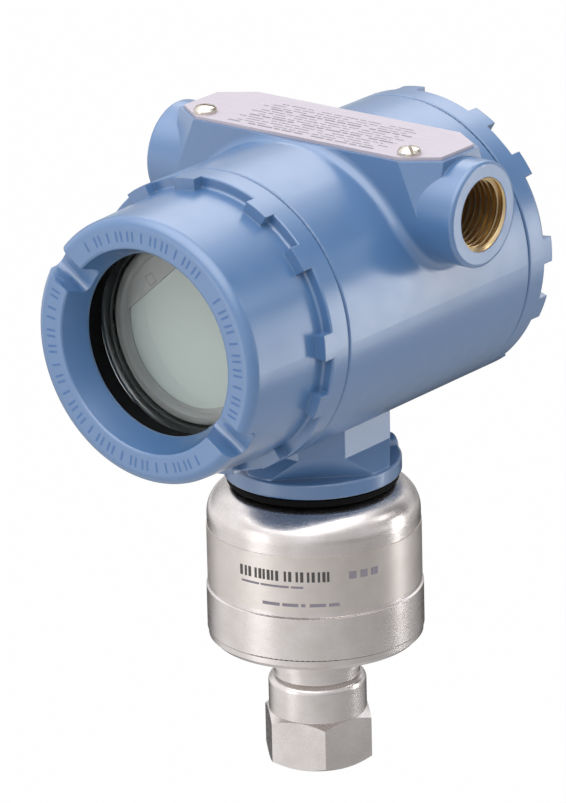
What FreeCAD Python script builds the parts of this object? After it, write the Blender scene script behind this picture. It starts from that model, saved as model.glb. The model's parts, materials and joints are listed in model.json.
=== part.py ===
import FreeCAD, Part
import os
from math import cos, sin, tan, pi, radians, hypot, sqrt
from FreeCAD import Vector as V

# In-line pressure transmitter: a stainless sensor module on a hex process
# connection, under a cast two-compartment housing with screwed covers.
# Millimetres, +Z up, origin at the centre of the hex mouth.
# Front (display) cover faces -Y, terminal cover +Y, conduit entries +X and -X.

# sensor module and process connection
hexAcrossFlats = 28.6
hexHeight = 13.0
hexTurn = 14.5
collarRadius = 14.0
waistRadius = 12.3
portRadius = 10.5           # 1/2-14 NPT female port, thread left smooth
portDepth = 19.0
moduleRadius = 30.3
bandRadius = 30.85
moduleBottom = 37.2
bandTop = 53.0
shoulderBottom = 74.0
moduleTop = 83.6
canWall = 1.6
neckRadius = 16.92
neckTop = 96.0

# housing
axisHeight = 142.0
barrelRadius = 42.0
frontParting = -36.0
rearParting = 47.0
threadBore = 38.0
innerBore = 36.8
threadDepth = 16.0
bulkheadFront = -2.0
bulkheadRear = 3.0
flangeRadius = 25.2
flangeBottom = 86.2
flangeTop = 91.0
neckFlat = 19.7              # the octagonal neck over the flange
neckDiagonal = 21.3
neckKnee = 96.8
setScrewAngle = 60.0        # heading of the rotation set screw and its lug
setScrewHeight = 89.8
padHeight = 184.5
wingY = 10.0
wingHalf = 15.0             # half width of the wings and radius of the conduit bosses
padHalfLength = 35.6
padTip = 46.2
padChamfer = 6.8
facetKnee = 41.5
facetDrop = 14.0
wingBlend = 3.0
conduitFace = 53.5
conduitHeight = 168.5

# nameplate screws and the adjust buttons under the nameplate
screwY = 0.4
buttonX = 9.0
buttonY = 17.0
buttonRadius = 3.4

# covers
coverGap = 0.3
spigotRadius = 37.4
coverBand = 7.2
lugReach = 3.4
coverBarrel = 38.7
frontFace = -73.0
frontMouth = 29.0
windowLip = 25.9
lipDepth = 7.6
glassFront = -57.7
glassThickness = 5.5
rearFace = 60.2
coverBore = 33.6
lugPairs = 6
lugHalfPitch = 12.4
firstPair = 40.0
lugAngle = 10.0
slotAngle = 124.4
slotWidth = 9.0

# display
displayRadius = 22.0
displayFlat = 16.5
displayTurn = 41.5

# fits and thin gaps
fit = 0.05

os.makedirs("parts", exist_ok=True)


def save(name, shape):
    solids = shape.Solids
    result = solids[0] if len(solids) == 1 else Part.makeCompound(solids)
    result.exportStep("parts/" + name + ".step")


def outline(points):
    """Closed wire; a point (a, b, r) has its corner rounded to radius r."""
    count = len(points)
    starts, ends, arcs = [], [], []
    for i, point in enumerate(points):
        here = V(point[0], 0, point[1])
        if len(point) == 2:
            starts.append(here)
            ends.append(here)
            arcs.append(None)
            continue
        before = V(points[i - 1][0], 0, points[i - 1][1]) - here
        after = V(points[(i + 1) % count][0], 0, points[(i + 1) % count][1]) - here
        before.normalize()
        after.normalize()
        half = before.getAngle(after) / 2
        reach = point[2] / tan(half)
        bisector = before + after
        bisector.normalize()
        middle = here + bisector * (point[2] / sin(half) - point[2])
        starts.append(here + before * reach)
        ends.append(here + after * reach)
        arcs.append(Part.Arc(starts[i], middle, ends[i]).toShape())
    edges = []
    for i in range(count):
        if arcs[i] is not None:
            edges.append(arcs[i])
        following = starts[(i + 1) % count]
        if (following - ends[i]).Length > 1e-6:
            edges.append(Part.makeLine(ends[i], following))
    return Part.Wire(edges)


def turned(points, angle=360):
    """Solid of revolution about Z from (radius, height) points."""
    return Part.Face(outline(points)).revolve(V(0, 0, 0), V(0, 0, 1), angle)


def turnedY(points):
    """Solid of revolution about the housing axis from (radius, y) points."""
    shape = turned([(p[0], -p[1]) + tuple(p[2:]) for p in points])
    shape.rotate(V(0, 0, 0), V(1, 0, 0), 90)
    shape.translate(V(0, 0, axisHeight))
    return shape


def tube(inner, outer, low, high):
    return turned([(inner, low), (outer, low), (outer, high), (inner, high)])


def tubeY(inner, outer, low, high):
    return turnedY([(inner, low), (outer, low), (outer, high), (inner, high)])


def rod(radius, start, end):
    path = V(*end) - V(*start)
    return Part.makeCylinder(radius, path.Length, V(*start), path)


def box(low, high):
    size = V(*high) - V(*low)
    return Part.makeBox(size.x, size.y, size.z, V(*low))


def polygon(points, height):
    corners = [V(x, y, height) for x, y in points]
    return Part.makePolygon(corners + corners[:1])


def prism(points, low, high):
    return Part.Face(polygon(points, low)).extrude(V(0, 0, high - low))


def ring(count, radius, turn=0):
    return [(radius * cos(radians(turn) + 2 * pi * i / count),
             radius * sin(radians(turn) + 2 * pi * i / count)) for i in range(count)]


def clockPoint(angle, radius, y):
    """Point beside the housing axis, angle clockwise from the top seen from the front."""
    return (radius * sin(radians(angle)), y, axisHeight + radius * cos(radians(angle)))


def processConnection():
    corner = hexAcrossFlats / 2 / cos(pi / 6)
    hexagon = prism(ring(6, corner, hexTurn), 0, 14.6)
    rounding = turned([(0, 0), (14.0, 0), (corner + 0.1, 1.5), (corner + 0.1, hexHeight),
                       (collarRadius + 0.1, 14.6), (0, 14.6)])
    upper = turned([(0, 14.0), (collarRadius, 14.0), (collarRadius, 24.6, 2.4),
                    (waistRadius, 25.4), (waistRadius, 28.4), (13.5, 28.8),
                    (13.5, 31.6), (13.0, 31.9), (13.0, 32.9),
                    (14.3, 33.4), (14.3, 41.2), (0, 41.2)])
    body = hexagon.common(rounding).fuse(upper)
    port = turned([(0, -1), (portRadius, -1), (portRadius, portDepth),
                   (4.0, portDepth + 2.5), (4.0, 28.6), (9.6, 30.2), (10.4, 30.2), (10.4, 42),
                   (0, 42)])
    return body.cut(port).removeSplitter()


def isolatingDiaphragm():
    low, thick = 30.25, 0.25
    crests = [2.2, 3.6, 5.0, 6.4, 7.8]
    under = [(0, low)]
    over = [(0, low + thick)]
    for i, radius in enumerate(crests):
        lift = 0.45 if i % 2 == 0 else 0.0
        under.append((radius, low + lift))
        over.append((radius, low + thick + lift))
    under.append((10.3, low))
    over.append((10.3, low + thick))
    return turned(under + over[::-1])


def sensorCapsule():
    body = turned([(0, 31.3), (9.7, 31.3), (9.7, 30.7), (10.3, 30.7), (10.3, 44.0),
                   (12.5, 44.6), (12.5, 50.0), (7.5, 50.0), (7.5, 54.0), (0, 54.0)])
    fill = rod(1.2, (6.5, 0, 49.0), (6.5, 0, 49.9))
    return body.cut(fill)


def headerPins():
    pins = [rod(0.35, (x, y, 54.05), (x, y, 63.0)) for x, y in ring(8, 5.0, 22.5)]
    return Part.makeCompound(pins)


def moduleBoard():
    board = Part.makeCylinder(26.5, 1.6, V(0, 0, 60.0))
    for x, y in ring(8, 5.0, 22.5):
        board = board.cut(rod(0.45, (x, y, 59), (x, y, 62)))
    chips = [box((8, -6, 61.6), (18, 4, 63.2)), box((-18, -4, 61.6), (-10, 3, 63.0)),
             box((-4, 12, 61.6), (6, 17, 62.8)), box((-6, -19, 61.6), (3, -13, 62.6))]
    for chip in chips:
        board = board.fuse(chip)
    return board


def moduleBase():
    return turned([(14.35, moduleBottom), (29.1, moduleBottom), (30.5, 38.6),
                   (30.5, 40.2), (28.9, 40.2), (28.9, 41.4), (14.35, 41.4)])


def moduleCan():
    inner = moduleRadius - canWall
    return turned([(29.0, 40.3), (bandRadius, 40.3, 0.4), (bandRadius, bandTop),
                   (moduleRadius, bandTop + 0.3), (moduleRadius, shoulderBottom + 8.6, 8.6),
                   (21.5, moduleTop - 0.4), (17.6, moduleTop - 0.4), (17.6, moduleTop - 2.0),
                   (inner, shoulderBottom + 7.0, 7.0), (inner, 41.5), (29.0, 41.5)])


def moduleNeck():
    lip = [(12.5, 79.6), (21.0, 79.6), (21.0, 81.4), (17.5, 81.4), (17.5, 84.6),
           (neckRadius, 85.0), (neckRadius, neckTop - 1), (neckRadius - 1, neckTop),
           (12.5, neckTop)]
    return turned(lip)


def cablePlug():
    plug = turned([(0, 88.0), (12.3, 88.0), (12.3, 93.0), (0, 93.0)])
    key = box((-2, 9.5, 87), (2, 13, 94))
    for x, y in ring(8, 7.0, 22.5):
        plug = plug.cut(rod(0.6, (x, y, 90.5), (x, y, 94)))
    return plug.cut(key)


def labelBand():
    skin = turned([(moduleRadius + 0.02, 54.6), (moduleRadius + 0.18, 54.6),
                   (moduleRadius + 0.18, 71.4), (moduleRadius + 0.02, 71.4)], 330)
    skin.rotate(V(0, 0, 0), V(0, 0, 1), 105)
    return skin


def neckSeal():
    return turned([(18.2, moduleTop + 0.1), (23.6, moduleTop + 0.1), (24.4, 84.6),
                   (24.4, 85.8), (18.2, 85.8)])


def facetCutter(sideX, sideY):
    """Half space beyond the triangular facet under one corner of the pad."""
    root = V(sideX * padHalfLength, wingY + sideY * wingHalf, padHeight)
    tip = V(sideX * padTip, wingY + sideY * (wingHalf - padChamfer), padHeight)
    knee = V(sideX * facetKnee, wingY + sideY * wingHalf, padHeight - facetDrop)
    normal = (tip - root).cross(knee - root)
    normal = normal * (sideX if normal.x > 0 else -sideX)
    cutter = Part.makeBox(80, 80, 40, V(-40, -40, 0))
    cutter.Placement = FreeCAD.Placement(root, FreeCAD.Rotation(V(0, 0, 1), normal))
    return cutter


def wings():
    """Nameplate pad and conduit bosses; left tall above the pad for the blends."""
    near, far, high = wingY - wingHalf, wingY + wingHalf, padHeight + 15
    left = -padTip
    low = [V(left, near, conduitHeight), V(left, far, conduitHeight)]
    top = [V(left, near, high), V(left, far, high)]
    belly = Part.Arc(low[1], V(left, wingY, conduitHeight - wingHalf), low[0]).toShape()
    profile = Part.Wire([Part.makeLine(low[0], top[0]), Part.makeLine(top[0], top[1]),
                         Part.makeLine(top[1], low[1]), belly])
    shape = Part.Face(profile).extrude(V(2 * padTip, 0, 0))
    for sideX in (-1, 1):
        for sideY in (-1, 1):
            shape = shape.cut(facetCutter(sideX, sideY))
    ends = [(side * (conduitFace - 4), wingY, conduitHeight) for side in (-1, 1)]
    return shape.fuse(rod(wingHalf, ends[0], ends[1])).removeSplitter()


def liesOnBarrel(edge):
    first, last = edge.FirstParameter, edge.LastParameter
    points = [edge.valueAt(first + (last - first) * k / 8) for k in range(9)]
    return all(abs(hypot(p.x, p.z - axisHeight) - barrelRadius) < 0.02 for p in points)


def towardsLug(shape, distance):
    """Lays a shape made along +Z on the set screw's axis, outwards from this distance."""
    path = V(cos(radians(setScrewAngle)), sin(radians(setScrewAngle)), 0)
    start = path * distance + V(0, 0, setScrewHeight)
    shape.Placement = FreeCAD.Placement(start, FreeCAD.Rotation(V(0, 0, 1), path))
    return shape


def neckPedestal():
    """Octagonal neck that spreads to the round flange, with its corners cut back below."""
    corner = neckDiagonal * sqrt(2) - neckFlat
    neck = prism([(neckFlat, -corner), (neckFlat, corner), (corner, neckFlat),
                  (-corner, neckFlat), (-neckFlat, corner), (-neckFlat, -corner),
                  (-corner, -neckFlat), (corner, -neckFlat)], flangeTop - 0.5, 114.0)
    low, rim = flangeTop - 0.5, flangeRadius - 0.7
    spread = neckKnee - flangeTop
    foot = Part.makeLoft([polygon(ring(4, (rim + 0.5) * sqrt(2), 45), low),
                          polygon(ring(4, neckFlat * sqrt(2), 45), neckKnee)], True, True)
    neck = neck.fuse(foot.common(rod(rim, (0, 0, low), (0, 0, neckKnee))))
    for turn in (45, 135, 225, 315):
        back = neckDiagonal - 0.25 * spread
        corners = [V(back, -30, flangeTop), V(50, -30, flangeTop), V(50, -30, neckKnee),
                   V(neckDiagonal, -30, neckKnee)]
        wedge = Part.Face(Part.makePolygon(corners + corners[:1])).extrude(V(0, 60, 0))
        wedge.rotate(V(0, 0, 0), V(0, 0, 1), turn)
        neck = neck.cut(wedge)
    flange = turned([(0, flangeBottom), (flangeRadius, flangeBottom, 0.8),
                     (flangeRadius, flangeTop, 0.9), (0, flangeTop)])
    lug = turned([(0, 0), (3.9, 0), (3.9, 8.0, 1.4), (0, 8.0)])
    lug = towardsLug(lug, flangeRadius - 8.0)
    return neck.fuse(flange).fuse(lug)


def conduitCollar(side):
    collar = turned([(0, 0), (wingHalf, 0), (wingHalf, 4.4, 1.2), (0, 4.4)])
    collar.rotate(V(0, 0, 0), V(0, 1, 0), 90 * side)
    collar.translate(V(side * (conduitFace - 4.4), wingY, conduitHeight))
    return collar


def conduitPort(side):
    def at(distance):
        return (side * distance, wingY, conduitHeight)
    port = rod(portRadius, at(conduitFace + 1), at(conduitFace - portDepth))
    return port.fuse(rod(7.2, at(conduitFace - portDepth + 1), at(22)))


def housing():
    body = turnedY([(0, frontParting), (barrelRadius, frontParting, 0.6),
                    (barrelRadius, rearParting, 0.6), (0, rearParting)])
    body = body.fuse(wings()).removeSplitter()
    roots = [e for e in body.Edges if liesOnBarrel(e) and e.BoundBox.ZMin > axisHeight
             and abs(e.BoundBox.Center.y - wingY) < wingHalf + 1]
    body = body.makeFillet(wingBlend, roots)
    body = body.cut(box((-70, -30, padHeight), (70, 60, padHeight + 30)))
    body = body.fuse(conduitCollar(1)).fuse(conduitCollar(-1)).fuse(neckPedestal())
    body = body.removeSplitter()
    hollow = turnedY([(0, frontParting - 1), (threadBore + 1, frontParting - 1),
                      (threadBore, frontParting + 1.0), (threadBore, frontParting + threadDepth),
                      (innerBore, frontParting + threadDepth), (innerBore, bulkheadFront, 2.0),
                      (0, bulkheadFront)])
    hollow = hollow.fuse(turnedY([(0, bulkheadRear), (innerBore, bulkheadRear, 2.0),
                                  (innerBore, rearParting - threadDepth),
                                  (threadBore, rearParting - threadDepth),
                                  (threadBore, rearParting - 1.0),
                                  (threadBore + 1, rearParting + 1), (0, rearParting + 1)]))
    body = body.cut(hollow).cut(conduitPort(1)).cut(conduitPort(-1))
    socket = rod(neckRadius + fit + 0.03, (0, 0, flangeBottom - 1), (0, 0, 97.0))
    relief = rod(18.0, (0, 0, flangeBottom - 1), (0, 0, flangeBottom + 1.2))
    passage = rod(7.0, (0, -9.4, 96.0), (0, -9.4, 120.0))
    feed = rod(5.0, clockPoint(180, 14, -4), clockPoint(180, 14, 6))
    body = body.cut(socket).cut(relief).cut(passage).cut(feed)
    for x in (-padHalfLength, padHalfLength):
        body = body.cut(rod(2.0, (x, screwY, padHeight - 6), (x, screwY, padHeight + 1)))
    for x in (-buttonX, buttonX):
        body = body.cut(rod(buttonRadius + fit, (x, buttonY, padHeight - 5.2),
                            (x, buttonY, padHeight + 1)))
    body = body.cut(towardsLug(rod(2.05, (0, 0, 0), (0, 0, 17)), 13.0))
    for angle in (60, 300):
        body = body.cut(rod(1.5, clockPoint(angle, 29, -3.0), clockPoint(angle, 29, 1.6)))
    pillar = rod(4.4, (-22, 2.5, 161), (-22, 6.0, 161))
    body = body.fuse(pillar).cut(rod(1.95, (-22, 2.0, 161), (-22, 7.0, 161)))
    return body


def nameplate():
    inset = 0.9
    near, far, chamfer = wingY - wingHalf + inset, wingY + wingHalf - inset, 6.6
    half, tip = padHalfLength - 0.2, padTip - inset - 0.4
    plate = prism([(-half, near), (half, near), (tip, near + chamfer), (tip, far - chamfer),
                   (half, far), (-half, far), (-tip, far - chamfer), (-tip, near + chamfer)],
                  padHeight, padHeight + 0.9)
    for x in (-padHalfLength, padHalfLength):
        plate = plate.cut(rod(2.1, (x, screwY, padHeight - 1), (x, screwY, padHeight + 2)))
    return plate


def panScrew(headRadius, headHeight, shankRadius, length):
    """Slotted pan-head screw, underside of the head at the origin, shank down -Z."""
    head = turned([(0, 0), (headRadius, 0), (headRadius, headHeight * 0.45),
                   (headRadius - headHeight * 0.25, headHeight * 0.8),
                   (headRadius - headHeight * 0.7, headHeight), (0, headHeight + 0.2)])
    shank = turned([(0, -length), (shankRadius - 0.4, -length), (shankRadius, 0.4 - length),
                    (shankRadius, 0.05), (0, 0.05)])
    slot = box((-headRadius, -0.45, headHeight * 0.45), (headRadius, 0.45, headHeight + 1))
    return head.cut(slot).fuse(shank)


def nameplateScrews():
    screws = []
    for x, spin in ((-padHalfLength, 25), (padHalfLength, -40)):
        screw = panScrew(3.3, 1.9, 1.9, 5.4)
        screw.rotate(V(0, 0, 0), V(0, 0, 1), spin)
        screw.translate(V(x, screwY, padHeight + 0.9))
        screws.append(screw)
    return Part.makeCompound(screws)


def adjustButton(x):
    low = padHeight - 3.8
    button = turned([(0, low), (buttonRadius, low), (buttonRadius, padHeight - 0.8),
                     (buttonRadius - 0.4, padHeight - 0.4), (0, padHeight - 0.4)])
    button = button.cut(box((-2.4, -0.5, padHeight - 1.0), (2.4, 0.5, padHeight)))
    button.translate(V(x, buttonY, 0))
    return button


def rotationSetScrew():
    screw = rod(1.98, (0, 0, 0), (0, 0, 7.0))
    return towardsLug(screw.cut(prism(ring(6, 1.15), 4.6, 7.5)), neckRadius + 0.7)


def coverLugs(edge, reach, inner):
    """Six pairs of wrench lugs standing on the band of a cover."""
    lugs = []
    for pair in range(lugPairs):
        for side in (-1, 1):
            middle = firstPair + 60 * pair + side * lugHalfPitch
            sector = turned([(inner, 0), (barrelRadius, 0), (barrelRadius, reach),
                             (inner, reach)], lugAngle)
            sector.rotate(V(0, 0, 0), V(0, 0, 1), -middle - lugAngle / 2)
            lugs.append(sector)
    lugs = lugs[0].multiFuse(lugs[1:])
    lugs.rotate(V(0, 0, 0), V(1, 0, 0), 90)
    lugs.rotate(V(0, 0, 0), V(0, 1, 0), -90)
    lugs.translate(V(0, edge, axisHeight))
    return lugs


def mirrorY(shape, plane):
    return shape.mirror(V(0, plane, 0), V(0, 1, 0))


def toolSlots(faceY, backY):
    slots = []
    for angle in (slotAngle, slotAngle + 180):
        slot = box((-slotWidth / 2, min(faceY, backY), 22), (slotWidth / 2, max(faceY, backY), 60))
        slot = slot.makeFillet(2.2, [e for e in slot.Edges if abs(e.BoundBox.YMin - backY) < 0.01
                                     and e.BoundBox.YLength < 0.01
                                     and e.BoundBox.ZLength > 30])
        slot.rotate(V(0, 0, 0), V(0, 1, 0), angle)
        slot.translate(V(0, 0, axisHeight))
        slots.append(slot)
    return slots


def frontCover():
    band = frontParting - coverGap
    step = band - coverBand
    body = turnedY([(coverBore, band + 14.4), (spigotRadius - 0.8, band + 14.4),
                    (spigotRadius, band + 13.6), (spigotRadius, band + 2.8),
                    (35.55, band + 2.8), (35.55, band), (barrelRadius, band, 0.5),
                    (barrelRadius, step, 0.5), (coverBarrel, step, 0.8),
                    (coverBarrel - 1.1, frontFace, 3.0), (frontMouth, frontFace, 0.8),
                    (windowLip, frontFace + lipDepth, 0.5), (windowLip, -64.6),
                    (29.6, -64.6), (29.6, -49.4), (coverBore, -48.6)])
    body = body.fuse(coverLugs(step + 0.5, lugReach + 0.5, coverBarrel - 0.5))
    for slot in toolSlots(frontFace - 1, frontFace + 6.4):
        body = body.cut(slot)
    return body


def windowSeal():
    return turnedY([(26.1, -64.5), (29.5, -64.5), (29.5, glassFront - 0.1),
                    (27.2, glassFront - 0.1)])


def windowGlass():
    back = glassFront + glassThickness
    return turnedY([(0, glassFront), (29.0, glassFront), (29.45, glassFront + 0.4),
                    (29.45, back - 0.4), (29.0, back), (0, back)])


def windowRetainer():
    back = glassFront + glassThickness
    nut = turnedY([(26.6, back + 0.1), (29.5, back + 0.1), (29.5, back + 2.6), (26.6, back + 2.6)])
    for angle in (30, 150, 270):
        notch = box((-2, back + 1.2, 24), (2, back + 4, 31))
        notch.rotate(V(0, 0, 0), V(0, 1, 0), angle)
        notch.translate(V(0, 0, axisHeight))
        nut = nut.cut(notch)
    return nut


def coverSeal(side):
    """O-ring on the root of a cover's thread; side -1 front, +1 rear."""
    shape = Part.makeTorus(36.65, 1.05)
    shape.rotate(V(0, 0, 0), V(1, 0, 0), 90)
    y = frontParting + 1.1 if side < 0 else rearParting - 1.1
    shape.translate(V(0, y, axisHeight))
    return shape


def rearCover():
    band = rearParting + coverGap
    step = band + coverBand
    body = turnedY([(0, 57.0), (coverBore, 57.0, 2.0), (coverBore, band - 14.4),
                    (spigotRadius - 0.8, band - 14.4), (spigotRadius, band - 13.6),
                    (spigotRadius, band - 2.8), (35.55, band - 2.8), (35.55, band),
                    (barrelRadius, band, 0.5), (barrelRadius, step, 0.5),
                    (coverBarrel, step, 0.6), (coverBarrel - 0.3, rearFace, 2.2),
                    (27.0, rearFace, 0.6), (26.4, rearFace - 1.4, 0.6), (0, rearFace - 1.4)])
    body = body.fuse(mirrorY(coverLugs(-step + 0.5, lugReach + 0.5, coverBarrel - 0.5), 0))
    for slot in toolSlots(rearFace + 1, rearFace - 1.5):
        body = body.cut(slot)
    return body


def roundBoard(y, radius, thick):
    return tubeY(0, radius, y, y + thick)


def electronicsCup():
    """Moulded cup that holds the electronics boards in the front compartment."""
    cup = turnedY([(0, -24.0), (31.0, -24.0), (34.0, -20.0), (34.0, -9.0), (36.2, -9.0),
                   (36.2, -6.8), (32.4, -6.8), (32.4, -19.4), (30.2, -22.4), (0, -22.4)])
    window = box((-11, -30, axisHeight + 14), (11, -20, axisHeight + 24))
    cup = cup.cut(window)
    for angle in (90, 270):
        cup = cup.cut(rod(1.55, clockPoint(angle, 29.6, -30), clockPoint(angle, 29.6, -20)))
    return cup


def electronicsBoard():
    board = roundBoard(-10.4, 31.8, 1.6)
    parts = [box((-14, -14.5, 128), (2, -10.4, 142)), box((6, -13.0, 146), (20, -10.4, 156)),
             box((-22, -16.0, 148), (-10, -10.4, 158)), box((8, -13.6, 126), (20, -10.4, 132)),
             box((-9, -19.5, 157), (9, -10.4, 165))]
    for piece in parts:
        board = board.fuse(piece)
    for angle in (60, 180, 300):
        board = board.cut(rod(1.7, clockPoint(angle, 29, -12), clockPoint(angle, 29, -7)))
    return board


def boardScrews():
    screws = []
    for angle in (60, 300):
        screw = panScrew(2.8, 1.6, 1.45, 11.6)
        screw.rotate(V(0, 0, 0), V(1, 0, 0), 90)
        screw.translate(V(*clockPoint(angle, 29, -10.4)))
        screws.append(screw)
    return Part.makeCompound(screws)


def displayBody():
    shell = turnedY([(0, -45.0), (27.4, -45.0), (29.0, -43.6), (29.0, -27.0), (0, -27.0)])
    plug = box((-8, -27.5, axisHeight + 15.6), (8, -21.0, axisHeight + 22.4))
    shell = shell.fuse(plug)
    for angle in (90, 270):
        shell = shell.fuse(rod(3.1, clockPoint(angle, 29.6, -27.0), clockPoint(angle, 29.6, -24.05)))
        shell = shell.cut(rod(2.7, clockPoint(angle, 29.6, -45.0), clockPoint(angle, 29.6, -27.0)))
        shell = shell.cut(rod(1.55, clockPoint(angle, 29.6, -28), clockPoint(angle, 29.6, -23)))
    return shell


def displayOpening(radius, y, depth, clearance):
    """Round window of the display with one flat side."""
    disc = Part.makeCylinder(radius, depth, V(0, y, axisHeight), V(0, 1, 0))
    slab = box((-40, y - 1, displayFlat + clearance), (40, y + depth + 1, 40))
    slab.rotate(V(0, 0, 0), V(0, 1, 0), -displayTurn)
    slab.translate(V(0, 0, axisHeight))
    return disc.cut(slab)


def displayBezel():
    rim = turnedY([(0, -45.05), (28.4, -45.05), (28.4, -48.2), (26.2, -48.6),
                   (26.2, -50.9, 0.9), (23.6, -50.9, 0.9), (23.0, -49.4), (0, -49.4)])
    return rim.cut(displayOpening(displayRadius, -52, 8, fit))


def displayPanel():
    return displayOpening(displayRadius - fit, -48.8, 3.75, 0)


def displayScrews():
    screws = []
    for angle in (90, 270):
        screw = panScrew(2.4, 1.5, 1.5, 5.6)
        screw.rotate(V(0, 0, 0), V(1, 0, 0), 90)
        screw.translate(V(*clockPoint(angle, 29.6, -27.05)))
        screws.append(screw)
    return Part.makeCompound(screws)


def terminalBlock():
    disc = turnedY([(0, 3.1), (34.5, 3.1), (34.5, 14.5, 1.5), (0, 14.5)])
    block = disc.common(box((-40, 0, 100), (40, 20, 156)))
    riser = box((-24, 14.0, 124), (24, 22.0, 142))
    riser = riser.makeFillet(1.5, [e for e in riser.Edges if e.BoundBox.YMin > 21.9])
    block = block.fuse(riser)
    for x in (-14.4, 0, 14.4):
        block = block.cut(box((x - 5.6, 15.6, 126), (x + 5.6, 23, 143)))
        block = block.cut(rod(2.0, (x, 8, 133.5), (x, 20, 133.5)))
    for angle in (110, 250):
        block = block.cut(rod(1.7, clockPoint(angle, 29, 0), clockPoint(angle, 29, 20)))
        block = block.cut(rod(3.6, clockPoint(angle, 29, 11), clockPoint(angle, 29, 20)))
    return block


def terminalScrews():
    screws = []
    for x, spin in ((-14.4, 20), (0, 75), (14.4, -35)):
        screw = panScrew(3.6, 2.0, 1.9, 8.0)
        washer = tube(1.8, 4.6, -0.9, 0.0)
        screw = screw.fuse(washer)
        screw.rotate(V(0, 0, 0), V(0, 0, 1), spin)
        screw.rotate(V(0, 0, 0), V(1, 0, 0), -90)
        screw.translate(V(x, 16.55, 133.5))
        screws.append(screw)
    return Part.makeCompound(screws)


def blockScrews():
    screws = []
    for angle in (110, 250):
        screw = panScrew(3.2, 1.8, 1.6, 7.8)
        screw.rotate(V(0, 0, 0), V(1, 0, 0), -90)
        screw.translate(V(*clockPoint(angle, 29, 11.05)))
        screws.append(screw)
    return Part.makeCompound(screws)


def groundTerminal():
    screw = panScrew(3.6, 2.2, 1.9, 4.8)
    clamp = box((-4.0, -4.0, -1.3), (4.0, 4.0, 0.0))
    screw = screw.fuse(clamp)
    screw.rotate(V(0, 0, 0), V(1, 0, 0), -90)
    screw.translate(V(-22.0, 7.35, 161.0))
    return screw


def bulkheadFeed():
    body = turned([(0, -1.0), (4.95, -1.0), (4.95, 4.95), (0, 4.95)])
    for x in (-2, 0, 2):
        body = body.fuse(rod(0.4, (x, 0, -4.0), (x, 0, 0)))
    body.rotate(V(0, 0, 0), V(1, 0, 0), -90)
    x, y, z = clockPoint(180, 14, bulkheadFront)
    body.translate(V(x, y, z))
    return body


save("process_connection", processConnection())
save("isolating_diaphragm", isolatingDiaphragm())
save("sensor_capsule", sensorCapsule())
save("header_pins", headerPins())
save("module_board", moduleBoard())
save("module_base", moduleBase())
save("module_can", moduleCan())
save("module_neck", moduleNeck())
save("cable_plug", cablePlug())
save("module_label_band", labelBand())
save("neck_seal", neckSeal())
save("housing", housing())
save("rotation_set_screw", rotationSetScrew())
save("nameplate", nameplate())
save("nameplate_screws", nameplateScrews())
save("zero_button", adjustButton(-buttonX))
save("span_button", adjustButton(buttonX))
save("bulkhead_feedthrough", bulkheadFeed())
save("electronics_cup", electronicsCup())
save("electronics_board", electronicsBoard())
save("board_screws", boardScrews())
save("display_body", displayBody())
save("display_bezel", displayBezel())
save("display_panel", displayPanel())
save("display_screws", displayScrews())
save("terminal_block", terminalBlock())
save("terminal_screws", terminalScrews())
save("terminal_block_screws", blockScrews())
save("ground_terminal", groundTerminal())
save("front_cover", frontCover())
save("window_seal", windowSeal())
save("window_glass", windowGlass())
save("window_retainer", windowRetainer())
save("front_cover_seal", coverSeal(-1))
save("rear_cover", rearCover())
save("rear_cover_seal", coverSeal(1))
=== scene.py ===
import json
from math import cos, pi, radians, sin, tau
import bpy
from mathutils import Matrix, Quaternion, Vector


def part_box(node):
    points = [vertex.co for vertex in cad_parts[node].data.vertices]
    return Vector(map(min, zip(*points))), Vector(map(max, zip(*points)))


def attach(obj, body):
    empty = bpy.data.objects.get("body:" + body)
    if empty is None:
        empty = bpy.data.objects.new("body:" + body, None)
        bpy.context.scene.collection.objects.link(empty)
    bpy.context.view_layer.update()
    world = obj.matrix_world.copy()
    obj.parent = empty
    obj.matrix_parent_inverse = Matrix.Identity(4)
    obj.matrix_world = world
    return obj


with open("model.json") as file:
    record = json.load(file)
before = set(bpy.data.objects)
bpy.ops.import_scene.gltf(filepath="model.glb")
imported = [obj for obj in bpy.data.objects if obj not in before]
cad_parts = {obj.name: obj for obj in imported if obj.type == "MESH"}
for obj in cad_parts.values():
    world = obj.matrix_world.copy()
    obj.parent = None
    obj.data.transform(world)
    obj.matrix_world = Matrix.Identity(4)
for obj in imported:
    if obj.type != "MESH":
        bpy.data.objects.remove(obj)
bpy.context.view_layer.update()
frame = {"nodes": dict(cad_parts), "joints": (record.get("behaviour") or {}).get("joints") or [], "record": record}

nodes = frame["nodes"]
joints = {joint["name"]: joint for joint in frame["joints"]}
mounts = {mount["name"]: mount for mount in frame["record"]["mounts"]}
axisHeight = joints["front_cover_turn"]["pos_m"][2]  # shared by barrel, covers and display
creaseAngle = 26  # degrees between two faces, from which their edge stays sharp
print("stage: frame loaded,", len(nodes), "nodes")


# sRGB hex to linear colour
def tone(code):
    parts = [int(code[i:i + 2], 16) / 255 for i in (1, 3, 5)]
    return [p / 12.92 if p <= 0.04045 else ((p + 0.055) / 1.055) ** 2.4 for p in parts] + [1.0]


# texture scale whose features are about this size
def perSize(millimetres):
    return 1000.0 / millimetres


# sets or links sockets, by name or number
def feed(tree, node, inputs):
    for key, value in inputs.items():
        if isinstance(value, bpy.types.NodeSocket):
            tree.links.new(value, node.inputs[key])
        else:
            node.inputs[key].default_value = value


# one shader node with its settings and links
def add(tree, kind, inputs=None, **settings):
    node = tree.nodes.new(kind)
    for key, value in settings.items():
        setattr(node, key, value)
    feed(tree, node, inputs or {})
    return node


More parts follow.
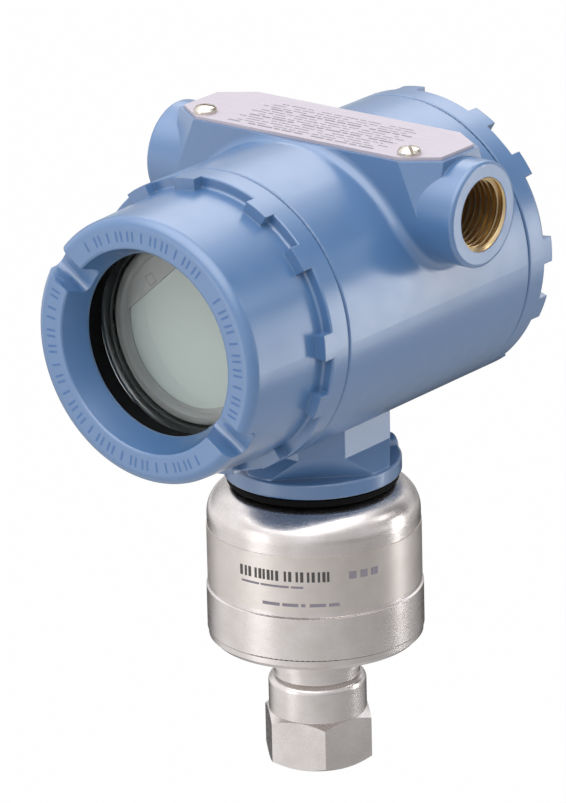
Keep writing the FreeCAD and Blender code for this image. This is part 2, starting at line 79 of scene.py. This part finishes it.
def material(name):
    made = bpy.data.materials.new(name)
    made.use_nodes = True
    tree = made.node_tree
    tree.nodes.clear()
    shader = add(tree, "ShaderNodeBsdfPrincipled")
    add(tree, "ShaderNodeOutputMaterial", {"Surface": shader.outputs["BSDF"]})
    where = add(tree, "ShaderNodeTexCoord").outputs["Object"]
    return made, tree, shader, where


def coat(names, finish):
    for name in names:
        slots = nodes[name].data.materials
        if len(slots):
            for i in range(len(slots)):
                slots[i] = finish
        else:
            slots.append(finish)


def piece(name, vertices, faces, finish, body, slotName, smooth=True):
    mesh = bpy.data.meshes.new(name)
    mesh.from_pydata(vertices, [], faces)
    mesh.validate()
    mesh.update()
    mesh.materials.append(finish)
    if smooth:
        mesh.polygons.foreach_set("use_smooth", [True] * len(mesh.polygons))
        mesh.set_sharp_from_angle(angle=radians(creaseAngle))
    made = bpy.data.objects.new(name, mesh)
    bpy.context.scene.collection.objects.link(made)
    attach(made, body)
    return made


# the part of its range that a noise mostly fills
noiseSpan = {"From Min": 0.3, "From Max": 0.7}
# in a Mix node for colours, inputs 6 and 7 are the two colours and output 2 is the result

# powder paint on cast aluminium: an even low sheen, a fine orange peel, and edges that the paint
# rounds over, so that they catch a thin light line
paintLook = {"base": "#3f628a", "shade": "#3b5e86", "roughness": (0.30, 0.37), "ior": 1.75,
             "coat": 0.7, "coatRoughness": 0.24, "edgeRadius": 0.00055, "cloudSize": 34,
             "driftSize": 6.0, "peelSize": 0.9, "peelStrength": 0.10, "peelDepth": 0.00006}


def housingPaint():
    look = paintLook
    low, high = look["roughness"]
    made, tree, shader, where = material("blue_powder_paint")
    cloud = add(tree, "ShaderNodeTexNoise",
                {"Vector": where, "Scale": perSize(look["cloudSize"]), "Detail": 3.0})
    tint = add(tree, "ShaderNodeMapRange", {"Value": cloud.outputs["Fac"], **noiseSpan})
    colour = add(tree, "ShaderNodeMix", {"Factor": tint.outputs["Result"], 6: tone(look["base"]),
                                         7: tone(look["shade"])}, data_type="RGBA")
    drift = add(tree, "ShaderNodeTexNoise",
                {"Vector": where, "Scale": perSize(look["driftSize"]), "Detail": 3.0})
    rough = add(tree, "ShaderNodeMapRange", {"Value": drift.outputs["Fac"], **noiseSpan,
                                             "To Min": low, "To Max": high})
    peel = add(tree, "ShaderNodeTexNoise",
               {"Vector": where, "Scale": perSize(look["peelSize"]), "Detail": 2.0})
    rounded = add(tree, "ShaderNodeBevel", {"Radius": look["edgeRadius"]}, samples=6)
    skin = add(tree, "ShaderNodeBump", {"Height": peel.outputs["Fac"],
                                        "Strength": look["peelStrength"],
                                        "Distance": look["peelDepth"],
                                        "Normal": rounded.outputs["Normal"]})
    feed(tree, shader, {"Base Color": colour.outputs[2], "Roughness": rough.outputs["Result"],
                        "IOR": look["ior"], "Coat Weight": look["coat"],
                        "Coat Roughness": look["coatRoughness"], "Normal": skin.outputs["Normal"]})
    return made


# stainless turned on a lathe: long glints across fine lines that run round its own Z. The real
# lines are near 0.1 mm apart, too fine to show, so they are drawn coarser. radius is where the
# length of a line is true
steelLook = {"base": "#e1dbd9", "dark": "#cfc8c4", "roughness": (0.21, 0.33), "anisotropy": 0.45,
             "radius": 0.03, "lineSize": 0.28, "lineStretch": 26.0, "lineShade": 0.35,
             "lineStrength": 0.12, "lineDepth": 0.00002, "cloudSize": 9.0}
# etched stainless foil, rolled thin: paler and flatter than the turned steel, with weaker lines
foilLook = {**steelLook, "base": "#ddd6d1", "dark": "#cfc7c1", "roughness": (0.28, 0.40),
            "lineStrength": 0.08}


def turnedSteel(name, look):
    low, high = look["roughness"]
    made, tree, shader, where = material(name)
    x, y, z = add(tree, "ShaderNodeSeparateXYZ", {"Vector": where}).outputs
    angle = add(tree, "ShaderNodeMath", {0: y, 1: x}, operation="ARCTAN2")
    reach = add(tree, "ShaderNodeMath", {0: angle.outputs[0], 1: look["radius"]},
                operation="MULTIPLY")
    stretched = add(tree, "ShaderNodeMath", {0: reach.outputs[0], 1: 1 / look["lineStretch"]},
                    operation="MULTIPLY")
    level = add(tree, "ShaderNodeVectorMath", {0: where, 1: (1, 1, 0)}, operation="MULTIPLY")
    radius = add(tree, "ShaderNodeVectorMath", {0: level.outputs[0]}, operation="LENGTH")
    along = add(tree, "ShaderNodeMath", {0: radius.outputs["Value"], 1: z}, operation="ADD")
    lined = add(tree, "ShaderNodeCombineXYZ", {0: stretched.outputs[0], 1: along.outputs[0],
                                               2: 0.0})
    fine = add(tree, "ShaderNodeTexNoise",
               {"Vector": lined.outputs[0], "Scale": perSize(look["lineSize"]), "Detail": 4.0,
                "Roughness": 0.7}).outputs["Fac"]
    cloud = add(tree, "ShaderNodeTexNoise",
                {"Vector": where, "Scale": perSize(look["cloudSize"]), "Detail": 4.0,
                 "Roughness": 0.6}).outputs["Fac"]
    tint = add(tree, "ShaderNodeMapRange", {"Value": cloud, **noiseSpan})
    colour = add(tree, "ShaderNodeMix", {"Factor": tint.outputs["Result"], 6: tone(look["base"]),
                                         7: tone(look["dark"])}, data_type="RGBA")
    streak = add(tree, "ShaderNodeMapRange", {"Value": fine, **noiseSpan,
                                              "To Min": 0.0, "To Max": look["lineShade"]})
    streaked = add(tree, "ShaderNodeMix", {"Factor": streak.outputs["Result"],
                                           6: colour.outputs[2], 7: tone(look["dark"])},
                   data_type="RGBA")
    rough = add(tree, "ShaderNodeMapRange", {"Value": fine, **noiseSpan,
                                             "To Min": low, "To Max": high})
    tangent = add(tree, "ShaderNodeTangent", direction_type="RADIAL", axis="Z")
    skin = add(tree, "ShaderNodeBump", {"Height": fine, "Strength": look["lineStrength"],
                                        "Distance": look["lineDepth"]})
    feed(tree, shader, {"Base Color": streaked.outputs[2], "Roughness": rough.outputs["Result"],
                        "Metallic": 1.0, "Anisotropic": look["anisotropy"],
                        "Tangent": tangent.outputs["Tangent"], "Normal": skin.outputs["Normal"]})
    return made


# sheet stainless for the nameplate, brushed along its length: a dull grey sheen in long streaks,
# drawn coarser than the real brush marks of about 0.05 mm
plateLook = {"base": "#ada6ad", "dark": "#a19aa1", "roughness": (0.46, 0.56), "metallic": 0.3,
             "brushSize": 0.22, "brushStretch": (0.03, 1.0, 1.0), "brushStrength": 0.12,
             "brushDepth": 0.00002}


def plateMetal():
    look = plateLook
    low, high = look["roughness"]
    made, tree, shader, where = material("nameplate_sheet")
    stretch = add(tree, "ShaderNodeMapping", {"Vector": where, "Scale": look["brushStretch"]})
    fine = add(tree, "ShaderNodeTexNoise",
               {"Vector": stretch.outputs[0], "Scale": perSize(look["brushSize"]), "Detail": 4.0,
                "Roughness": 0.7}).outputs["Fac"]
    tint = add(tree, "ShaderNodeMapRange", {"Value": fine, **noiseSpan})
    colour = add(tree, "ShaderNodeMix", {"Factor": tint.outputs["Result"], 6: tone(look["base"]),
                                         7: tone(look["dark"])}, data_type="RGBA")
    rough = add(tree, "ShaderNodeMapRange", {"Value": fine, **noiseSpan,
                                             "To Min": low, "To Max": high})
    skin = add(tree, "ShaderNodeBump", {"Height": fine, "Strength": look["brushStrength"],
                                        "Distance": look["brushDepth"]})
    feed(tree, shader, {"Base Color": colour.outputs[2], "Roughness": rough.outputs["Result"],
                        "Metallic": look["metallic"], "Normal": skin.outputs["Normal"]})
    return made


# yellow chromate on a machined thread: straw-coloured metal with drifting olive and warm stains
chromateLook = {"base": "#e2ca9c", "olive": "#cbb286", "warm": "#cda98c", "roughness": 0.27,
                "driftSize": 7.0, "stainSize": 4.0, "stainFrom": (0.45, 0.75), "stainMost": 0.5}


def chromateThread():
    look = chromateLook
    low, high = look["stainFrom"]
    made, tree, shader, where = material("yellow_chromate")
    drift = add(tree, "ShaderNodeTexNoise",
                {"Vector": where, "Scale": perSize(look["driftSize"]), "Detail": 2.0})
    tint = add(tree, "ShaderNodeMapRange", {"Value": drift.outputs["Fac"], **noiseSpan})
    colour = add(tree, "ShaderNodeMix", {"Factor": tint.outputs["Result"], 6: tone(look["base"]),
                                         7: tone(look["olive"])}, data_type="RGBA")
    stain = add(tree, "ShaderNodeTexNoise",
                {"Vector": where, "Scale": perSize(look["stainSize"]), "Detail": 3.0})
    share = add(tree, "ShaderNodeMapRange", {"Value": stain.outputs["Fac"], "From Min": low,
                                             "From Max": high, "To Max": look["stainMost"]})
    stained = add(tree, "ShaderNodeMix", {"Factor": share.outputs["Result"],
                                          6: colour.outputs[2], 7: tone(look["warm"])},
                  data_type="RGBA")
    feed(tree, shader, {"Base Color": stained.outputs[2], "Roughness": look["roughness"],
                        "Metallic": 1.0})
    return made


# toughened glass: clear, with sharp reflections, and open to shadow rays, so that the display
# behind it is lit
glassLook = {"tint": "#f4f7f5", "shadow": "#eef3ef", "roughness": 0.015, "ior": 1.5}


def clearGlass():
    look = glassLook
    made, tree, shader, where = material("toughened_glass")
    feed(tree, shader, {"Base Color": tone(look["tint"]), "Roughness": look["roughness"],
                        "Transmission Weight": 1.0, "IOR": look["ior"]})
    path = add(tree, "ShaderNodeLightPath")
    clear = add(tree, "ShaderNodeBsdfTransparent", {"Color": tone(look["shadow"])})
    mixed = add(tree, "ShaderNodeMixShader", {0: path.outputs["Is Shadow Ray"],
                                              1: shader.outputs["BSDF"], 2: clear.outputs["BSDF"]})
    feed(tree, tree.get_output_node("ALL"), {"Surface": mixed.outputs[0]})
    return made


# unlit liquid crystal behind its polariser: a pale green-grey with a soft sheen
screenLook = {"base": "#c3cbc8", "roughness": 0.30}


def displayFace():
    made, tree, shader, where = material("display_face")
    feed(tree, shader, {"Base Color": tone(screenLook["base"]),
                        "Roughness": screenLook["roughness"]})
    return made


mottleSize = 1.6
metalLook = {
    "screw_stainless": {"colour": "#d3cbc0", "roughness": (0.21, 0.32)},  # cold-formed, bright
    "plated_pins": {"colour": "#d2b06a", "roughness": (0.20, 0.31)},  # thin gold, a warm glint
    "machined_ring": {"colour": "#a9abad", "roughness": (0.27, 0.38)},  # turned aluminium, cool
}


# a small metal part, its gloss broken by a mottle of handling
def plainMetal(name, colour, roughness):
    low, high = roughness
    made, tree, shader, where = material(name)
    worn = add(tree, "ShaderNodeTexNoise", {"Vector": where, "Scale": perSize(mottleSize),
                                            "Detail": 5.0, "Roughness": 0.7})
    rough = add(tree, "ShaderNodeMapRange", {"Value": worn.outputs["Fac"], **noiseSpan,
                                             "To Min": low, "To Max": high})
    feed(tree, shader, {"Base Color": tone(colour), "Metallic": 1.0,
                        "Roughness": rough.outputs["Result"]})
    return made


# grain of a spark-eroded mould, drawn coarser than the real 0.1 mm so that it shows
mouldGrain = {"size": 0.35, "depth": 0.00003}
mouldingLook = {
    "black_rubber": {"colour": "#020203", "roughness": 0.8, "level": 0.15},  # nitrile, no shine
    "black_moulding": {"colour": "#16171a", "roughness": 0.42},  # filled nylon, a soft sheen
    "display_bezel_grey": {"colour": "#a3a2a1", "roughness": 0.40, "grain": 0.1},  # smooth ABS
    "coated_board": {"colour": "#1d4a33", "roughness": 0.35},  # green resist under clear lacquer
    "pale_moulding": {"colour": "#cfcfc8", "roughness": 0.4},  # acetal, a waxy sheen
    "print_grey": {"colour": "#6f6a72", "roughness": 0.5, "grain": 0.0},  # etched and filled
    "print_dark": {"colour": "#3a3836", "roughness": 0.5, "grain": 0.0},  # screen ink
    "tick_painted_shade": {"colour": "#385a86", "roughness": 0.45, "grain": 0.1},  # painted shade: a darker blue for the relief of raised cast letters
}


def plainMoulding(name, colour, roughness, grain=0.25, level=0.5):
    made, tree, shader, where = material(name)
    texture = add(tree, "ShaderNodeTexNoise",
                  {"Vector": where, "Scale": perSize(mouldGrain["size"]), "Detail": 2.0})
    skin = add(tree, "ShaderNodeBump", {"Height": texture.outputs["Fac"], "Strength": grain,
                                        "Distance": mouldGrain["depth"]})
    feed(tree, shader, {"Base Color": tone(colour), "Roughness": roughness,
                        "Specular IOR Level": level, "Normal": skin.outputs["Normal"]})
    return made


paint = housingPaint()
steel = turnedSteel("turned_stainless", steelLook)
foil = turnedSteel("label_foil", foilLook)
plate = plateMetal()
chromate = chromateThread()
glass = clearGlass()
screen = displayFace()
metals = {name: plainMetal(name, **look) for name, look in metalLook.items()}
mouldings = {name: plainMoulding(name, **look) for name, look in mouldingLook.items()}

coat(["housing", "front_cover", "rear_cover"], paint)
coat(["process_connection", "module_base", "module_can", "module_neck", "sensor_capsule",
      "isolating_diaphragm"], steel)
coat(["module_label_band"], foil)
coat(["nameplate"], plate)
coat(["nameplate_screws", "board_screws", "display_screws", "terminal_screws",
      "terminal_block_screws", "ground_terminal", "rotation_set_screw"],
     metals["screw_stainless"])
coat(["header_pins"], metals["plated_pins"])
coat(["window_retainer"], metals["machined_ring"])
coat(["neck_seal", "window_seal", "front_cover_seal", "rear_cover_seal"],
     mouldings["black_rubber"])
coat(["bulkhead_feedthrough", "electronics_cup", "display_body", "cable_plug", "terminal_block"],
     mouldings["black_moulding"])
coat(["display_bezel"], mouldings["display_bezel_grey"])
coat(["display_panel"], screen)
coat(["electronics_board", "module_board"], mouldings["coated_board"])
coat(["zero_button", "span_button"], mouldings["pale_moulding"])
coat(["window_glass"], glass)
print("stage: materials on the CAD nodes")


# all in pitches: half the flat at the root, the flat at the crest, and the run-out at each end
threadForm = {"flat": 0.18, "top": 0.12, "fade": 0.6}


# helical thread along +Z from 0, its rows following the helix from root to crest and back
def threadMesh(rootRadius, crestRadius, pitch, length, taper=0.0, around=72):
    flat, top = threadForm["flat"], threadForm["top"]
    steps = [(0.0, 0.0), (flat, 0.0), (0.5 - top / 2, 1.0), (0.5 + top / 2, 1.0), (1.0 - flat, 0.0)]
    turns = int(length / pitch)
    marks = [(k + share, height) for k in range(turns) for share, height in steps]
    marks.append((turns, 0.0))
    vertices, faces = [], []
    for share, height in marks:
        for i in range(around + 1):
            turn = i / around
            run = min(max((share + turn - 0.5) * pitch, 0.0), length)
            fade = min(run, length - run) / (threadForm["fade"] * pitch)
            radius = rootRadius + (crestRadius - rootRadius) * height * min(max(fade, 0.0), 1.0)
            radius -= taper * run
            vertices.append((radius * cos(tau * turn), radius * sin(tau * turn), run))
    for r in range(len(marks) - 1):
        for i in range(around):
            a = r * (around + 1) + i
            b = a + around + 1
            faces.append((a, a + 1, b + 1, b))
    return vertices, faces


# carries what stands along +Z onto a direction, with the helix still right-handed
def aim(vertices, origin, direction):
    turn = Vector((0, 0, 1)).rotation_difference(Vector(direction))
    return [tuple(turn @ Vector(v) + Vector(origin)) for v in vertices]


# half-inch taper pipe thread, 14 to the inch, from just inside the mouth of each port
portThread = {"root": 0.01048, "crest": 0.0094, "pitch": 0.0018143, "length": 0.0172,
              "taper": 0.03125, "inset": 0.0002,
              "ports": (("conduit_entry_right", "conduit_thread_right", "housing"),
                        ("conduit_entry_left", "conduit_thread_left", "housing"),
                        ("process_connection", "process_thread", "module"))}


def portThreads():
    look = portThread
    vertices, faces = threadMesh(look["root"], look["crest"], look["pitch"], look["length"],
                                 look["taper"])
    finishes = {"housing": (chromate, "contact_metal"), "module": (steel, "stainless")}
    for port, name, body in look["ports"]:
        inward = -Vector(mounts[port]["axis"])
        start = Vector(mounts[port]["pos_m"]) + inward * look["inset"]
        finish, slotName = finishes[body]
        piece(name, aim(vertices, start, inward), faces, finish, body, slotName)


# 2 mm thread on the spigot of each cover, from just behind the spigot's end
coverThread = {"root": 0.03741, "crest": 0.03785, "pitch": 0.002, "length": 0.0105, "around": 120,
               "inset": 0.0007}


def coverThreads():
    look = coverThread
    vertices, faces = threadMesh(look["root"], look["crest"], look["pitch"], look["length"],
                                 around=look["around"])
    for cover in ("front_cover", "rear_cover"):
        outward = Vector(joints[cover + "_turn"]["axis"])
        low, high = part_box(cover)
        spigotEnd = high.y if outward.y < 0 else low.y
        start = (0, spigotEnd + outward.y * look["inset"], axisHeight)
        piece(cover + "_thread", aim(vertices, start, outward), faces, paint, cover,
              "housing_paint")


portThreads()
coverThreads()
print("stage: threads")


barStep = 0.0015  # a longer bar gets more faces, so that it follows a round surface


# flat bars from (u, v, width, height) rows, laid on a surface by place(u, v)
def bars(rows, place):
    vertices, faces = [], []
    for u, v, width, height in rows:
        count = max(1, int(width / barStep))
        start = len(vertices)
        for i in range(count + 1):
            across = u + width * i / count
            vertices.append(place(across, v))
            vertices.append(place(across, v + height))
        for i in range(count):
            a = start + 2 * i
            faces.append((a, a + 2, a + 3, a + 1))
    return vertices, faces


# wraps u round the module from the direction it faces, with v upward
def onBand(radius, facing):
    def place(u, v):
        angle = radians(facing) + u / radius
        return (radius * cos(angle), radius * sin(angle), v)
    return place


# u runs round the band in metres from the way it faces, each line is (start, width) bars, and
# radius is just outside the foil's own
labelPrint = {
    "radius": 0.03054, "facing": -51,
    "bold": {"start": -0.0235, "z": 0.0640, "tall": 0.0030, "first": 0.0009, "second": 0.0007,
             "gap": 0.0004,
             "widths": (0.0026, 0.0030, 0.0022, 0.0022, 0.0034, 0.0030, 0.0028, 0.0026, 0.0022)},
    "upper": {"z": 0.0621, "tall": 0.0006,
              "bars": ((-0.0230, 0.0060), (-0.0165, 0.0085), (-0.0074, 0.0035))},
    "lower": {"z": 0.0566, "tall": 0.0009,
              "bars": ((-0.0160, 0.0052), (-0.0100, 0.0046), (-0.0046, 0.0012), (-0.0022, 0.0046),
                       (0.0032, 0.0030))},
    "squares": {"z": 0.0642, "tall": 0.0022,
                "bars": tuple((0.0092 + 0.0034 * k, 0.0022) for k in range(3))},
}


def moduleLabel():
    bold, fine = [], []
    big = labelPrint["bold"]
    u = big["start"]
    for width in big["widths"]:
        bold.append((u, big["z"], big["first"], big["tall"]))
        bold.append((u + width - big["first"], big["z"], big["second"], big["tall"]))
        u += width + big["gap"]
    for line in (labelPrint["upper"], labelPrint["lower"], labelPrint["squares"]):
        fine += [(start, line["z"], width, line["tall"]) for start, width in line["bars"]]
    where = onBand(labelPrint["radius"], labelPrint["facing"])
    for name, rows, ink in (("label_bold_bars", bold, "print_dark"),
                            ("label_fine_bars", fine, "print_grey")):
        vertices, faces = bars(rows, where)
        piece(name, vertices, faces, mouldings[ink], "module", "label_foil")


platePrint = {"lift": 0.00004, "rows": 12, "gap": 0.0018, "first": -0.0018, "left": -0.026,
              "right": 0.027, "indent": 0.002, "short": 0.003, "thin": 0.0004, "thick": 0.00075,
              "space": 0.0008, "pause": 0.0022,
              "widths": (0.0042, 0.0024, 0.0051, 0.0018, 0.0035, 0.0029, 0.0046, 0.0021)}


# rows of unequal bars, every fourth row thicker, with ragged ends and a pause at every fifth bar
def plateBars():
    rows, look = [], platePrint
    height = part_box("nameplate")[1].z + look["lift"]
    for row in range(look["rows"]):
        y = look["first"] + row * look["gap"]
        x = look["left"] + look["indent"] * (row % 3)
        end = look["right"] - look["short"] * (row % 2)
        tall = look["thin"] if row % 4 else look["thick"]
        k = row * 3
        while x < end:
            width = look["widths"][k % len(look["widths"])]
            rows.append((x, y, min(width, end - x), tall))
            x += width + look["space"] + look["pause"] * (k % 5 == 0)
            k += 1
    vertices, faces = bars(rows, lambda u, v: (u, v, height))
    piece("nameplate_bars", vertices, faces, mouldings["print_grey"], "housing", "name_plate")


# a small square outline beside the display's flat, whose normal is turn degrees from upright
displayMark = {"out": 0.0186, "along": -0.0022, "half": 0.0015, "line": 0.00022,
               "front": -0.04943, "turn": 41.5}


def displaySquare():
    look = displayMark
    turn, half, line = radians(look["turn"]), look["half"], look["line"]

    def place(u, v):
        along, out = look["along"] + u, look["out"] + v
        return (along * cos(turn) - out * sin(turn), look["front"],
                axisHeight + along * sin(turn) + out * cos(turn))
    sides = [(-half, -half, 2 * half, line), (-half, half - line, 2 * half, line),
             (-half, -half, line, 2 * half), (half - line, -half, line, 2 * half)]
    vertices, faces = bars(sides, place)
    piece("display_square", vertices, faces, mouldings["print_grey"], "housing",
          "display_bezel", smooth=False)


# groups of radial ticks, from and to in degrees clockwise from the top, two of three doubled. They stand in for
# the raised cast letters of the face ring, and their darker blue is painted shade for the relief
ringMarks = {"inner": 0.0310, "outer": 0.0339, "lift": 0.00003, "step": 6.6, "width": 0.00062,
             "apart": 0.00085,
             "groups": ((-35, -27), (-20, 36), (53, 118), (147, 168), (174, 210), (217, 246),
                        (253, 277), (282, 298))}


def faceRingTicks():
    look = ringMarks
    low, high, half = look["inner"], look["outer"], look["width"] / 2
    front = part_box("front_cover")[0].y - look["lift"]
    vertices, faces = [], []
    for first, last in look["groups"]:
        count = max(2, int((last - first) / look["step"]) + 1)
        for k in range(count):
            turn = radians(first + (last - first) * k / (count - 1))
            outward, across = (sin(turn), cos(turn)), (cos(turn), -sin(turn))
            for side in (-1, 1) if k % 3 else (0,):
                shift = side * look["apart"]
                start = len(vertices)
                for reach, edge in ((low, -half), (low, half), (high, half), (high, -half)):
                    x = outward[0] * reach + across[0] * (shift + edge)
                    z = outward[1] * reach + across[1] * (shift + edge)
                    vertices.append((x, front, axisHeight + z))
                faces.append((start, start + 1, start + 2, start + 3))
    piece("face_ring_ticks", vertices, faces, mouldings["tick_painted_shade"], "front_cover",
          "housing_paint", smooth=False)


moduleLabel()
plateBars()
faceRingTicks()
displaySquare()
print("stage: printed bars")


# the floor is plain to the eye. For reflections it slopes from dark to light toward one corner,
# with a round shade behind the object, as a sweep between dark flags would give
floorLook = {"paper": "#c8c8c8", "roughness": 0.9, "seen": "#fefefe", "seenShare": 0.98,
             "level": -0.60, "size": 8.0, "mirrored": "#fbfbfc",
             "toward": (-0.8, -0.6, 0.0), "reach": 1.9, "low": 0.45, "high": 1.05,
             "shadeAt": (-1.3, 1.6, 0.0), "shadeInner": 1.1, "shadeOuter": 1.95, "shade": 0.05}


def paleFloor():
    look = floorLook
    made, tree, shader, where = material("pale_floor")
    feed(tree, shader, {"Base Color": tone(look["paper"]), "Roughness": look["roughness"]})
    slope = add(tree, "ShaderNodeVectorMath", {0: where, 1: look["toward"]},
                operation="DOT_PRODUCT")
    rise = add(tree, "ShaderNodeMapRange",
               {"Value": slope.outputs["Value"], "From Min": -look["reach"],
                "From Max": look["reach"], "To Min": look["low"], "To Max": look["high"]})
    away = add(tree, "ShaderNodeVectorMath", {0: where, 1: look["shadeAt"]}, operation="DISTANCE")
    dip = add(tree, "ShaderNodeMapRange",
              {"Value": away.outputs["Value"], "From Min": look["shadeInner"],
               "From Max": look["shadeOuter"], "To Min": look["shade"], "To Max": 1.0})
    level = add(tree, "ShaderNodeMath", {0: rise.outputs["Result"], 1: dip.outputs["Result"]},
                operation="MULTIPLY")
    sheet = add(tree, "ShaderNodeEmission", {"Color": tone(look["mirrored"]),
                                             "Strength": level.outputs[0]})
    glow = add(tree, "ShaderNodeEmission", {"Color": tone(look["seen"]), "Strength": 1.0})
    path = add(tree, "ShaderNodeLightPath")
    share = add(tree, "ShaderNodeMath", {0: path.outputs["Is Camera Ray"], 1: look["seenShare"]},
                operation="MULTIPLY")
    mirrored = add(tree, "ShaderNodeMixShader", {0: path.outputs["Is Glossy Ray"],
                                                 1: shader.outputs["BSDF"],
                                                 2: sheet.outputs["Emission"]})
    mixed = add(tree, "ShaderNodeMixShader", {0: share.outputs[0], 1: mirrored.outputs[0],
                                              2: glow.outputs["Emission"]})
    below = add(tree, "ShaderNodeNewGeometry").outputs["Backfacing"]
    clear = add(tree, "ShaderNodeBsdfTransparent")
    oneSided = add(tree, "ShaderNodeMixShader", {0: below, 1: mixed.outputs[0],
                                                 2: clear.outputs[0]})
    feed(tree, tree.get_output_node("ALL"), {"Surface": oneSided.outputs[0]})
    half, z = look["size"], look["level"]
    mesh = bpy.data.meshes.new("floor")
    mesh.from_pydata([(-half, -half, z), (half, -half, z), (half, half, z), (-half, half, z)], [],
                     [(0, 1, 2, 3)])
    mesh.materials.append(made)
    sheetObject = bpy.data.objects.new("floor", mesh)
    bpy.context.scene.collection.objects.link(sheetObject)


# each lobe is (direction, outer degrees, inner degrees, gain), as a soft panel or a dark flag
skyLook = {
    "base": 1.1, "colour": "#f7f8fb", "seen": "#fefefe",
    "lobes": (((-0.52, 0.68, 0.52), 50, 18, 0.5),
              ((-0.60, 0.79, -0.05), 50, 26, -0.98),
              ((0.55, 0.74, 0.38), 33, 12, -0.85),
              ((0.05, -0.35, 0.92), 56, 22, 2.4),
              ((0.95, -0.1, 0.1), 50, 15, -0.35),
              ((-0.9, -0.3, -0.1), 50, 15, 0.2)),
}


def studioSky():
    look = skyLook
    world = bpy.data.worlds.new("studio")
    bpy.context.scene.world = world
    world.use_nodes = True
    tree = world.node_tree
    tree.nodes.clear()
    facing = add(tree, "ShaderNodeTexCoord").outputs["Generated"]
    level = look["base"]
    for direction, outer, inner, gain in look["lobes"]:
        toward = add(tree, "ShaderNodeVectorMath",
                     {0: facing, 1: Vector(direction).normalized()}, operation="DOT_PRODUCT")
        lobe = add(tree, "ShaderNodeMapRange",
                   {"Value": toward.outputs["Value"], "From Min": cos(radians(outer)),
                    "From Max": cos(radians(inner)), "To Min": 0.0, "To Max": gain},
                   interpolation_type="SMOOTHSTEP")
        level = add(tree, "ShaderNodeMath", {0: level, 1: lobe.outputs["Result"]},
                    operation="ADD").outputs[0]
    soft = add(tree, "ShaderNodeBackground", {"Color": tone(look["colour"]), "Strength": level})
    seen = add(tree, "ShaderNodeBackground", {"Color": tone(look["seen"]), "Strength": 1.0})
    path = add(tree, "ShaderNodeLightPath")
    mixed = add(tree, "ShaderNodeMixShader", {0: path.outputs["Is Camera Ray"],
                                              1: soft.outputs[0], 2: seen.outputs[0]})
    add(tree, "ShaderNodeOutputWorld", {"Surface": mixed.outputs[0]})


# soft boxes aimed at one point of the object. bright is how bright the box's face is, so a
# larger box gives more light
lampTarget = (0, 0, 0.10)
lampLook = {
    "backLeft": {"from": (-0.50, 0.95, 0.98), "size": (0.95, 0.7), "bright": 1.3},
    "rightStrip": {"from": (0.898, 0.98, -0.01), "size": (0.19, 0.82), "bright": 5.8},
    "rightHigh": {"from": (0.75, 0.55, 0.62), "size": (0.25, 0.25), "bright": 2.5},
    "left": {"from": (-0.50, -1.20, -0.05), "size": (0.55, 0.8), "bright": 1.05},
}


def lamps():
    for name, look in lampLook.items():
        data = bpy.data.lights.new(name, "AREA")
        data.shape = "RECTANGLE"
        data.size, data.size_y = look["size"]
        data.energy = look["bright"] * pi * data.size * data.size_y
        lamp = bpy.data.objects.new(name, data)
        lamp.location = look["from"]
        ray = Vector(lampTarget) - Vector(look["from"])
        lamp.rotation_euler = ray.to_track_quat("-Z", "Y").to_euler()
        bpy.context.scene.collection.objects.link(lamp)


# a long lens from the front right and above, its angles in degrees
cameraLook = {"azimuth": 38.56, "elevation": 19.34, "roll": -1.45, "distance": 1.6813,
              "aim": (-0.01069, -0.00852, 0.11296), "lens": 268.99, "sensor": 36,
              "shift": (0.0262, -0.0250), "clip": (0.05, 30)}


def camera():
    look = cameraLook
    data = bpy.data.cameras.new("camera")
    seen = bpy.data.objects.new("camera", data)
    bpy.context.scene.collection.objects.link(seen)
    bpy.context.scene.camera = seen
    data.lens, data.sensor_width = look["lens"], look["sensor"]
    data.shift_x, data.shift_y = look["shift"]
    data.clip_start, data.clip_end = look["clip"]
    side, up = radians(look["azimuth"]), radians(look["elevation"])
    back = Vector((sin(side) * cos(up), -cos(side) * cos(up), sin(up)))
    seen.location = Vector(look["aim"]) + back * look["distance"]
    turn = (-back).to_track_quat("-Z", "Y")
    seen.rotation_mode = "QUATERNION"
    seen.rotation_quaternion = Quaternion(back, radians(look["roll"])) @ turn


paleFloor()
studioSky()
lamps()
camera()
bpy.context.scene.view_settings.view_transform = "Standard"
print("stage: floor, light and camera")
